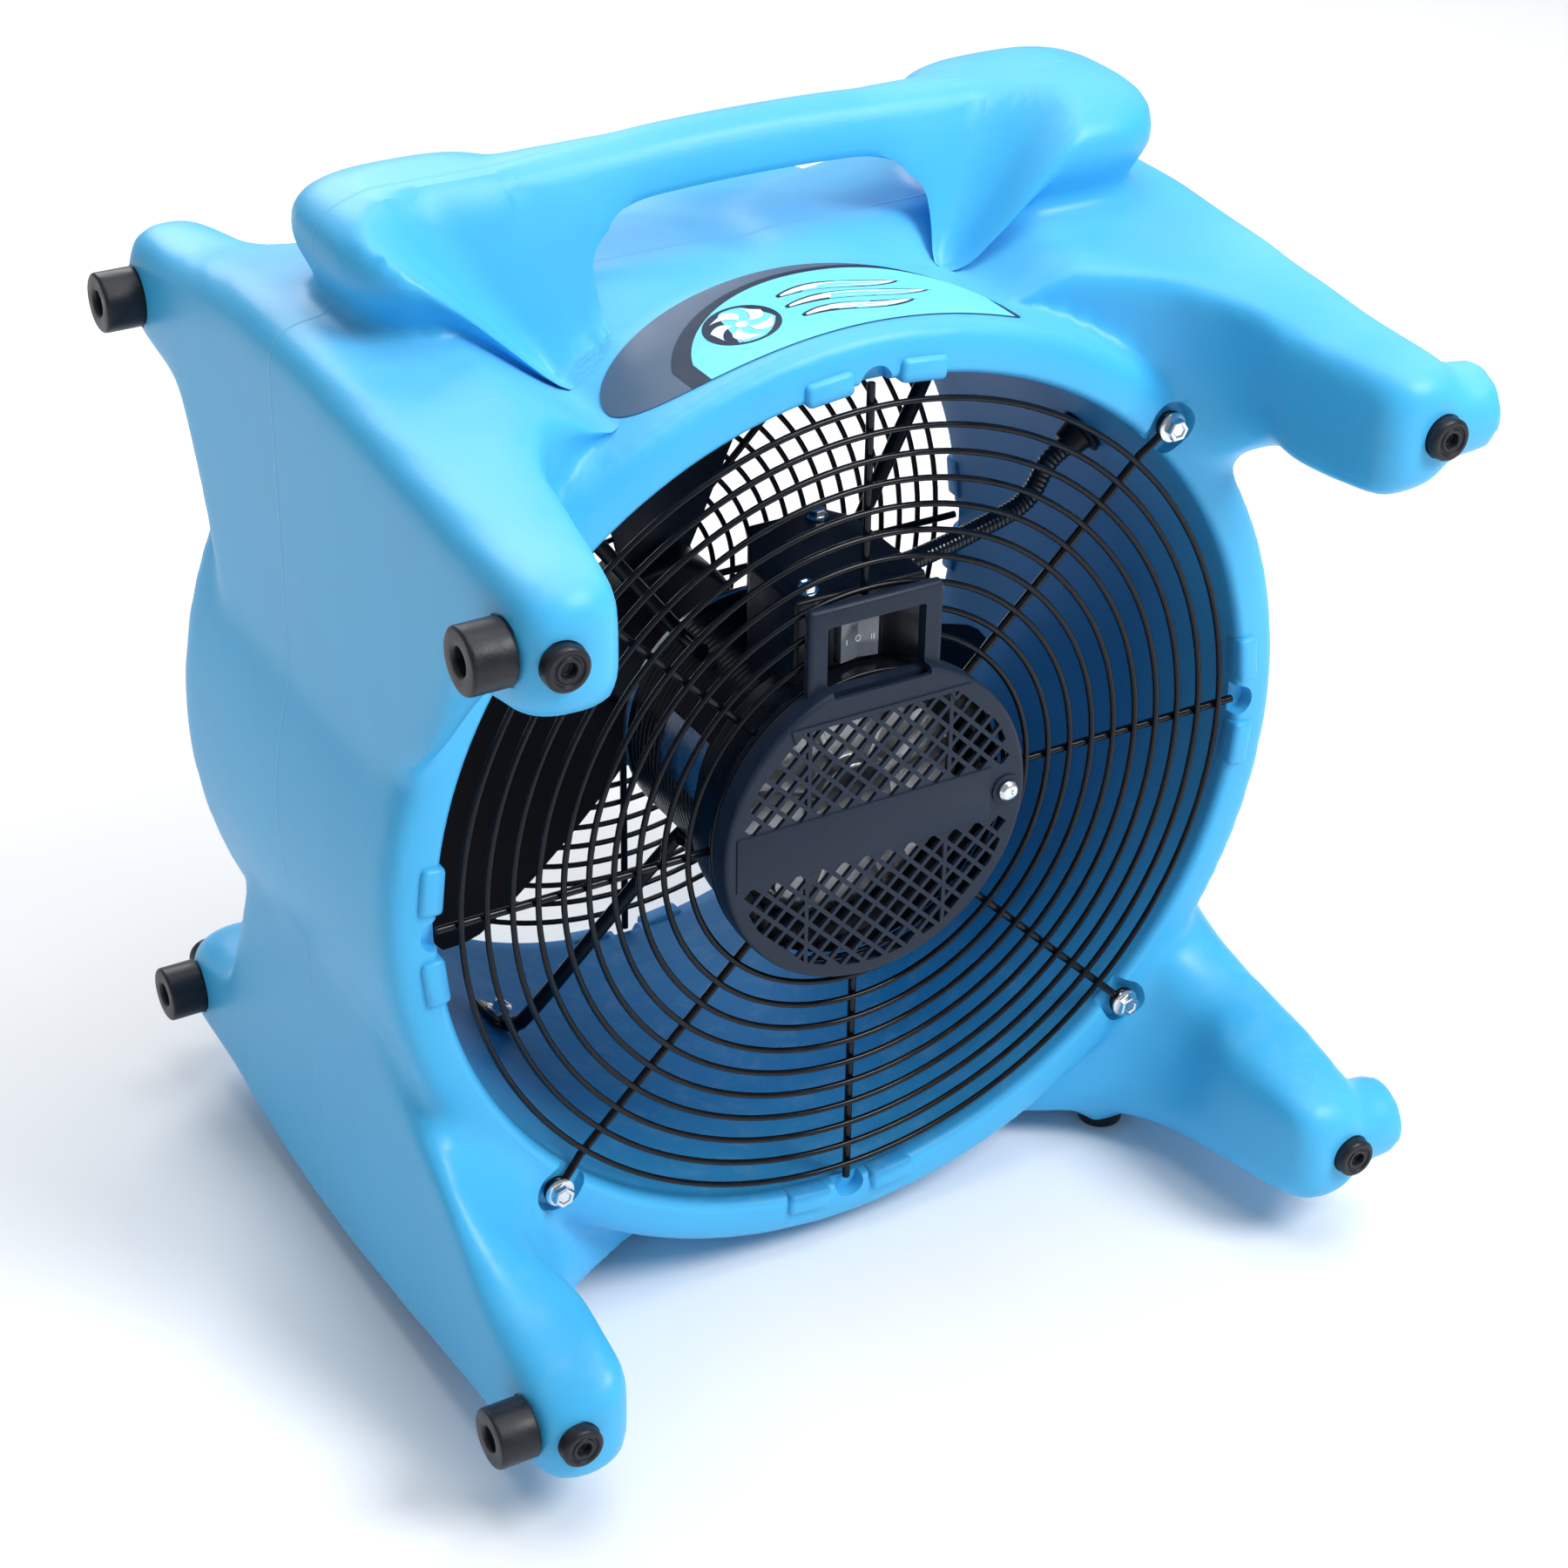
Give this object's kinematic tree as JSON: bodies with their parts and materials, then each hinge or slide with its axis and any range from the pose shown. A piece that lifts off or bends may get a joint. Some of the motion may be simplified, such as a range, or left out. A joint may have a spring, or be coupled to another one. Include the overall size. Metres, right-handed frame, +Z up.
{
  "type": "axial air mover",
  "caption": "Axial air mover: a motor-driven fan in a moulded duct housing with wire guards, a carrying handle, rubber bumpers and feet, and a rocker switch behind a vented cover.",
  "frame": {"origin": "on the floor, under the middle of the box that encloses the machine standing on its feet", "axes": "+Y runs along the fan's axis from the intake guard with the switch to the outlet guard, +X to the right seen from the intake side, +Z up"},
  "size_m": [0.5212, 0.466, 0.5792],
  "materials": {
    "housing_blue": "satin rotomoulded polyethylene",
    "rubber": "matte",
    "guard_wire": "glossy black coating",
    "zinc": "bright zinc plate",
    "cast_aluminium": "as cast",
    "motor_black": "satin black paint",
    "winding": "lacquered copper winding",
    "steel": "ground",
    "fan_plastic": "satin moulded",
    "black_plastic": "fine grained",
    "rocker_plastic": "smoky translucent",
    "decal_print": "printed label"
  },
  "bodies": {
    "body": {"conduit": "black_plastic", "conduit_gland": "black_plastic", "cover_ring": "motor_black", "cover_screw": "zinc", "foot_front_left": "rubber", "foot_front_right": "rubber", "foot_rear_left": "rubber", "foot_rear_right": "rubber", "front_bearing": "steel", "front_bumper_left_lower": "rubber", "front_bumper_left_upper": "rubber", "front_bumper_right_lower": "rubber", "front_bumper_right_upper": "rubber", "front_decal": "decal_print", "front_guard": "guard_wire", "front_guard_bolt_lower_left": "zinc", "front_guard_bolt_lower_right": "zinc", "front_guard_bolt_upper_left": "zinc", "front_guard_bolt_upper_right": "zinc", "housing": "housing_blue", "motor_body": "motor_black", "motor_capacitor": "cast_aluminium", "motor_front_endbell": "cast_aluminium", "motor_rear_endbell": "cast_aluminium", "motor_stator": "winding", "rear_bearing": "steel", "rear_bumper_left_lower": "rubber", "rear_bumper_left_upper": "rubber", "rear_bumper_right_lower": "rubber", "rear_bumper_right_upper": "rubber", "rear_guard": "guard_wire", "rear_guard_bolt_lower_left": "zinc", "rear_guard_bolt_lower_right": "zinc", "rear_guard_bolt_upper_left": "zinc", "rear_guard_bolt_upper_right": "zinc", "side_bumper_front_lower": "rubber", "side_bumper_front_upper": "rubber", "side_bumper_rear_lower": "rubber", "side_bumper_rear_upper": "rubber", "strut_bolt_lower_left": "zinc", "strut_bolt_lower_right": "zinc", "strut_bolt_upper_left": "zinc", "strut_bolt_upper_right": "zinc", "strut_lower_left": "motor_black", "strut_lower_right": "motor_black", "strut_upper_left": "motor_black", "strut_upper_right": "motor_black", "switch_body": "black_plastic", "terminal_box": "black_plastic", "terminal_screw_front": "zinc", "terminal_screw_rear": "zinc", "vent_cover": "black_plastic"},
    "rotor": {"motor_shaft": "steel", "rotor_core": "steel", "fan": "fan_plastic", "fan_nut": "zinc"},
    "rocker": {"switch_rocker": "rocker_plastic"}
  },
  "joints": [
    {"name": "fan_spin", "type": "hinge", "parent": "body", "child": "rotor", "pos_m": [0, 0, 0.264], "axis": [0, 1, 0], "continuous": true},
    {"name": "rocker_tilt", "type": "hinge", "parent": "body", "child": "rocker", "pos_m": [0, -0.079, 0.356], "axis": [0, 0, 1], "range_deg": [-8, 8]}
  ]
}
